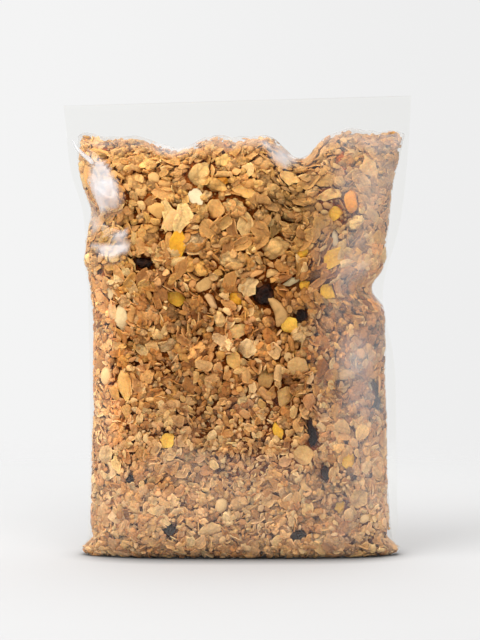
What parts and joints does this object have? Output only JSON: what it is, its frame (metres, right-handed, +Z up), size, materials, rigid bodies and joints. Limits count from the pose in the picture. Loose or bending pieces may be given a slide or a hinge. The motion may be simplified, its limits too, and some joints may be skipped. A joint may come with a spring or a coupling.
{
  "type": "granola",
  "caption": "Clear flat film pouch packed tight with toasted oat granola, standing on its filled base, with an empty pressed header on top and a narrow film margin down each side.",
  "frame": {"origin": "middle of the flat base, on the ground", "axes": "+Z up, the pouch's front face towards -Y, its width along X"},
  "size_m": [0.1724, 0.0518, 0.23],
  "materials": {
    "granola": "toasted oat flakes and small clusters, golden brown, dry with a light honey glaze",
    "raisin": "wrinkled dried grape, near black, soft sheen",
    "nut": "pale roasted nut halves, coconut chips and seeds, smooth and matte",
    "fruit": "dried yellow fruit pieces, slightly translucent",
    "clear_film": "thin clear unprinted plastic film, glossy, softly creased"
  },
  "bodies": {
    "root": {"granola": "granola", "film": "clear_film"}
  },
  "joints": []
}
